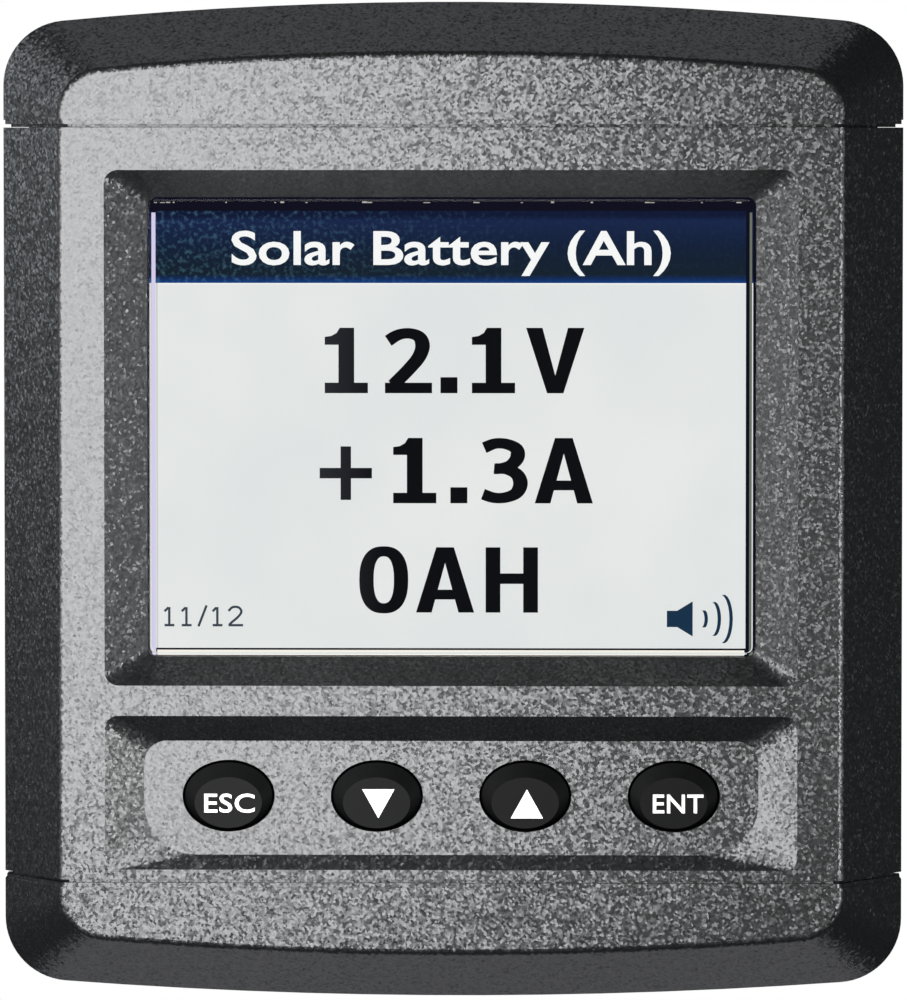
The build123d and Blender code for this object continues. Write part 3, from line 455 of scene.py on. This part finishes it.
left, right, bottom, top = (screen[side] for side in ("left", "right", "bottom", "top"))
screenPiece("screen_page", [rectangle(left, right, bottom, screen["header"])], page, 0)
screenPiece("screen_header", [rectangle(left, right, screen["header"], top)], headerGlow, 0)
headerLine = rectangle(left + 0.3, right, screen["header"] - 0.14, screen["header"])
screenPiece("screen_header_edge", [headerLine], whiteGlow)

# dark gap round the picture, and painted reflections: glowing strips that stand for the display's light
# reflected in the edges of the clear window
outer = rectangle(opening["left"], opening["right"], opening["bottom"] - 0.6, opening["top"])
screenPiece("screen_border", [(outer, (rectangle(left, right, bottom, top),))], navyGap, 0)
reflectionStrip = {"bottom": -17.85, "top": top - 0.2}
screenPiece("window_edge_reflection_left", [rectangle(-34.9, -34.43, reflectionStrip["bottom"], reflectionStrip["top"])], edgeReflectionViolet)
screenPiece("window_edge_reflection_bottom", [rectangle(-34.3, 34.0, reflectionStrip["bottom"], -17.22)], edgeReflectionCream)
screenPiece("window_edge_reflection_line_left", [rectangle(-34.36, -34.2, bottom, screen["header"])], edgeReflectionPale)
screenPiece("window_edge_reflection_right", [rectangle(34.55, 34.97, reflectionStrip["bottom"], reflectionStrip["top"])], edgeReflectionGrey)

header = {"words": "Solar Battery (Ah)", "centre": (-0.1, 29.65), "height": 4.19, "width": 51.0,
          "weight": 0.016}
finishPiece(textPiece("screen_title", header["words"], header["centre"], header["height"], pageY - layer,
                      header["width"], header["weight"], layer), whiteGlow)

# numerals are drawn stroke by stroke for a cap height of 1: uprights are wider than the level bars
stemWidth, barWidth = 0.225, 0.16


def strokeOutline(points, weight=1.0):
    left, right = [], []
    for i, point in enumerate(points):
        before, after = points[max(i - 1, 0)], points[min(i + 1, len(points) - 1)]
        along = Vector((after[0] - before[0], after[1] - before[1])).normalized()
        half = weight * math.hypot(stemWidth * along.y, barWidth * along.x) / 2
        left.append((point[0] - along.y * half, point[1] + along.x * half))
        right.append((point[0] + along.y * half, point[1] - along.x * half))
    return left + right[::-1]


def smoothPath(points, steps=5):
    # rounds a stroke by a Catmull-Rom curve through its points
    padded = [points[0], *points, points[-1]]
    result = []
    for a, b, c, d in zip(padded, padded[1:], padded[2:], padded[3:]):
        for i in range(steps):
            t = i / steps
            result.append(tuple(
                0.5 * (2 * b[k] + (c[k] - a[k]) * t + (2 * a[k] - 5 * b[k] + 4 * c[k] - d[k]) * t * t
                       + (3 * b[k] - a[k] - 3 * c[k] + d[k]) * t ** 3) for k in (0, 1)))
    return result + [points[-1]]


def oval(cx, cy, rx, ry, count=40, power=0.82):
    points = []
    for i in range(count):
        turn = 2 * math.pi * i / count
        c, s = math.cos(turn), math.sin(turn)
        points.append((cx + rx * math.copysign(abs(c) ** power, c),
                       cy + ry * math.copysign(abs(s) ** power, s)))
    return points


glyphs = {
    "1": [[(0.21, 0.16), (0.21, 0.74), (0, 0.74), (0, 0.86), (0.1, 0.875), (0.18, 0.92),
           (0.23, 1.0), (0.45, 1.0), (0.45, 0.16)], rectangle(0, 0.66, 0, 0.16)],
    "2": [strokeOutline(smoothPath([(0.05, 0.8), (0.2, 0.89), (0.37, 0.915), (0.52, 0.86),
          (0.575, 0.72), (0.51, 0.54), (0.34, 0.34), (0.17, 0.17), (0.12, 0.12)])),
          rectangle(0.0, 0.72, 0, 0.16)],
    "3": [strokeOutline(smoothPath([(0.07, 0.85), (0.24, 0.915), (0.42, 0.905), (0.56, 0.83),
          (0.575, 0.7), (0.47, 0.58), (0.3, 0.53), (0.22, 0.53)])),
          strokeOutline(smoothPath([(0.24, 0.535), (0.42, 0.52), (0.57, 0.44), (0.625, 0.3),
          (0.56, 0.16), (0.4, 0.09), (0.22, 0.085), (0.05, 0.14)]))],
    "0": [(oval(0.375, 0.5, 0.375, 0.515), (oval(0.375, 0.5, 0.155, 0.36),))],
    ".": [rectangle(0, 0.26, 0, 0.245)],
    "V": [[(0, 1), (0.25, 1), (0.445, 0.27), (0.445, 0), (0.32, 0)],
          [(0.445, 0), (0.445, 0.27), (0.64, 1), (0.89, 1), (0.57, 0)]],
    "A": [[(0, 0), (0.24, 0), (0.445, 0.76), (0.445, 1), (0.31, 1)],
          [(0.445, 1), (0.445, 0.76), (0.65, 0), (0.89, 0), (0.58, 1)],
          rectangle(0.22, 0.67, 0.2, 0.35)],
    "H": [rectangle(0, 0.225, 0, 1), rectangle(0.575, 0.8, 0, 1),
          rectangle(0.225, 0.575, 0.44, 0.6)],
    "+": [rectangle(0, 0.8, 0.38, 0.54), rectangle(0.32, 0.48, 0.54, 0.87),
          rectangle(0.32, 0.48, 0.05, 0.38)],
}
readings = {
    "reading_voltage": ("12.1V", (-14.77, -7.77, -1.32, 2.33, 8.63), 12.67),
    "reading_current": ("+1.3A", (-15.37, -6.82, -0.17, 3.23, 9.63), -0.13),
    "reading_charge": ("0AH", (-10.77, -4.17, 3.93), -12.85),
}
capHeight = 7.6
for name, (word, lefts, base) in readings.items():
    shapes = []
    for letter, left in zip(word, lefts):
        for shape in glyphs[letter]:
            outline, holes = shape if isinstance(shape, tuple) else (shape, ())
            placed = [[(left + x * capHeight, base + z * capHeight) for x, z in loop]
                      for loop in (outline, *holes)]
            shapes.append((placed[0], tuple(placed[1:])))
    screenPiece(name, shapes, inkGlow)

# page number in hairline figures
hair = 0.28  # thickness of a hairline


def hairLine(points):
    left, right = [], []
    for i, point in enumerate(points):
        before, after = points[max(i - 1, 0)], points[min(i + 1, len(points) - 1)]
        along = Vector((after[0] - before[0], after[1] - before[1])).normalized()
        left.append((point[0] - along.y * hair / 2, point[1] + along.x * hair / 2))
        right.append((point[0] + along.y * hair / 2, point[1] - along.x * hair / 2))
    return left + right[::-1]


def thinOne(x):
    return [hairLine([(x, 0.14), (x, 2.25)]), hairLine([(x - 0.55, 1.75), (x - 0.1, 2.2)]),
            hairLine([(x - 0.55, 0.14), (x + 0.6, 0.14)])]


pageNumber = [*thinOne(0.8), *thinOne(2.8), hairLine([(4.2, 0.0), (5.15, 2.45)]), *thinOne(6.4),
              hairLine(smoothPath([(7.7, 1.8), (8.2, 2.25), (8.9, 2.2), (9.2, 1.7), (8.8, 1.1),
                                   (8.1, 0.5), (7.75, 0.14)])),
              hairLine([(7.7, 0.14), (9.4, 0.14)])]
pageCorner = {"x": -33.7, "z": -14.5}
placed = [[(pageCorner["x"] + x, pageCorner["z"] + z) for x, z in shape] for shape in pageNumber]
screenPiece("screen_page_number", placed, glowing("backlit_display_slate", "#3c4650")[0])

# loudspeaker sign: a box, a horn and three sound arcs
speaker = {"x": 25.0, "z": -13.56, "arcs": ((4.6, 1.0), (5.75, 2.0), (6.8, 2.85)), "arcHalfWidth": 0.2,
           "arcBulge": 0.375, "arcSetBack": 0.4}


def soundArc(reach, half):
    turns = [math.radians(a) for a in range(-80, 81, 16)]
    bow = speaker["arcBulge"] * half
    middle = [(reach + bow * math.cos(t) - speaker["arcSetBack"], half * math.sin(t)) for t in turns]
    thick = speaker["arcHalfWidth"]
    return [(x + thick, z) for x, z in middle] + [(x - thick, z) for x, z in reversed(middle)]


signShapes = [rectangle(0, 1.2, -0.95, 0.95), [(1.2, -0.95), (3.0, -2.05), (3.0, 2.05), (1.2, 0.95)]]
signShapes += [soundArc(*arc) for arc in speaker["arcs"]]
placed = [[(speaker["x"] + x, speaker["z"] + z) for x, z in shape] for shape in signShapes]
screenPiece("screen_sound_sign", placed, glowing("backlit_display_teal", "#17324a")[0])

# painted glints along the top of the window: glowing dashes that stand for light caught by the edge of the
# clear sheet
random.seed(7)
glints = []
glintZ = 34.75
for x in (-34.6, -33.9, -33.2, -32.4, -26.3, -20.6, -19.9, -17.0, -10.4, -9.8, -3.3, 2.5, 8.0,
          11.5, 16.1, 22.4, 23.0, 28.9, 33.0):
    long = random.uniform(0.15, 0.8)
    glints.append(rectangle(x, x + long, glintZ, glintZ + random.uniform(0.08, 0.2)))
screenPiece("window_glints", glints, glowing("clear_sheet_glint", "#b9b6ae")[0])
print("display picture ready")


# key legends

keyTop = {name: [[c / mm for c in corner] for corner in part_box("key_" + name)]
          for name in ("escape", "down", "up", "enter")}
legendDrop = {"text": 0.7, "triangle": 0.8}  # the flat of each key sits this far below its middle
legendShift = {"escape": 0.15, "down": 0.2, "up": 0.2, "enter": 0.5}  # printing runs slightly off centre
legendText = {"height": 2.31, "width": 5.85, "weight": 0.012, "spacing": 1.04}
triangleHalf = {"across": 1.87, "up": 1.675}
ink = {"sunk": 0.01, "proud": 0.04}  # the print bites into the rubber a little and stands out from it
for name in keyTop:
    low, high = keyTop[name]
    kind = "text" if name in ("escape", "enter") else "triangle"
    middleX = (low[0] + high[0]) / 2 + legendShift[name]
    middleZ = (low[2] + high[2]) / 2 - legendDrop[kind]
    if kind == "text":
        word = "ESC" if name == "escape" else "ENT"
        legend = textPiece(f"legend_{name}", word, (middleX, middleZ), legendText["height"],
                           low[1] + ink["sunk"], legendText["width"], legendText["weight"],
                           ink["sunk"] + ink["proud"], legendText["spacing"])
    else:
        tip = -triangleHalf["up"] if name == "down" else triangleHalf["up"]
        across = triangleHalf["across"]
        triangle = [(middleX - across, middleZ - tip), (middleX + across, middleZ - tip),
                    (middleX, middleZ + tip)]
        legend = prismPiece(f"legend_{name}", [triangle], low[1] + ink["sunk"], low[1] - ink["proud"])
    finishPiece(legend, keyInk, f"key_{name}")
print("key legends ready")

# pole marks printed on the back of the housing, one over each pole of the terminal row
poleMarks = {"count": 12, "pitch": 5.08, "z": -16.8, "width": 0.5, "height": 1.6, "thick": 0.05}
poleNumber = {"height": 2.2, "weight": 0.01, "rise": 2.6}  # rise: how far a number sits above its mark
lastPole = poleMarks["pitch"] * (poleMarks["count"] - 1) / 2
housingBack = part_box("rear_housing")[1][1]
markTree = bpy.data.node_groups.new("poleMarks", "GeometryNodeTree")
markTree.interface.new_socket("Geometry", in_out="INPUT", socket_type="NodeSocketGeometry")
for label in ("Count", "Pitch", "Width", "Height", "Thickness"):
    kind = "NodeSocketInt" if label == "Count" else "NodeSocketFloat"
    markTree.interface.new_socket(label, in_out="INPUT", socket_type=kind)
markTree.interface.new_socket("Geometry", in_out="OUTPUT", socket_type="NodeSocketGeometry")
inlet = addNode(markTree, "NodeGroupInput")
reach = addNode(markTree, "ShaderNodeCombineXYZ", {}, {"X": (inlet, "Pitch")})
gaps = addNode(markTree, "ShaderNodeMath", {1: 1.0}, {0: (inlet, "Count")}, operation="SUBTRACT")
span = addNode(markTree, "ShaderNodeVectorMath", {}, {0: (reach, 0), "Scale": (gaps, 0)}, operation="SCALE")
start = addNode(markTree, "ShaderNodeVectorMath", {"Scale": -0.5}, {0: (span, 0)}, operation="SCALE")
row = addNode(markTree, "GeometryNodeMeshLine", {}, {"Count": (inlet, "Count"), "Start Location": (start, 0),
              "Offset": (reach, 0)})
extent = addNode(markTree, "ShaderNodeCombineXYZ", {},
                 {"X": (inlet, "Width"), "Y": (inlet, "Thickness"), "Z": (inlet, "Height")})
mark = addNode(markTree, "GeometryNodeMeshCube", {}, {"Size": (extent, 0)})
placed = addNode(markTree, "GeometryNodeInstanceOnPoints", {}, {"Points": (row, 0), "Instance": (mark, 0)})
real = addNode(markTree, "GeometryNodeRealizeInstances", {}, {0: (placed, 0)})
inked = addNode(markTree, "GeometryNodeSetMaterial", {"Material": padInk}, {"Geometry": (real, 0)})
addNode(markTree, "NodeGroupOutput", {}, {0: (inked, 0)})
maker = pieceFromMesh("poleMarkMaker", bpy.data.meshes.new("poleMarkMaker"))
modifier = maker.modifiers.new("poleMarks", "NODES")
modifier.node_group = markTree
amounts = {"Count": poleMarks["count"], "Pitch": poleMarks["pitch"] * mm, "Width": poleMarks["width"] * mm,
           "Height": poleMarks["height"] * mm, "Thickness": poleMarks["thick"] * mm}
for item in markTree.interface.items_tree:
    if item.name in amounts:
        modifier[item.identifier] = amounts[item.name]
bpy.context.view_layer.update()
marksMesh = bpy.data.meshes.new_from_object(maker.evaluated_get(bpy.context.evaluated_depsgraph_get()))
bpy.data.objects.remove(maker)
marksMesh.name = "pole_marks"
for v in marksMesh.vertices:
    v.co.y += housingBack + poleMarks["thick"] * mm / 2
    v.co.z += poleMarks["z"] * mm
finishPiece(pieceFromMesh("pole_marks", marksMesh), padInk)
for name, words, x in (("pole_number_first", "1", -lastPole), ("pole_number_last", "12", lastPole)):
    number = textPiece(name, words, (x, 0), poleNumber["height"], 0, thick=poleMarks["thick"],
                       weight=poleNumber["weight"])
    numberZ = (poleMarks["z"] + poleNumber["rise"]) * mm
    for v in number.data.vertices:  # turned to be read from behind
        v.co = (2 * x * mm - v.co.x, housingBack - v.co.y, v.co.z + numberZ)
    finishPiece(number, padInk)
print("rear marks ready")
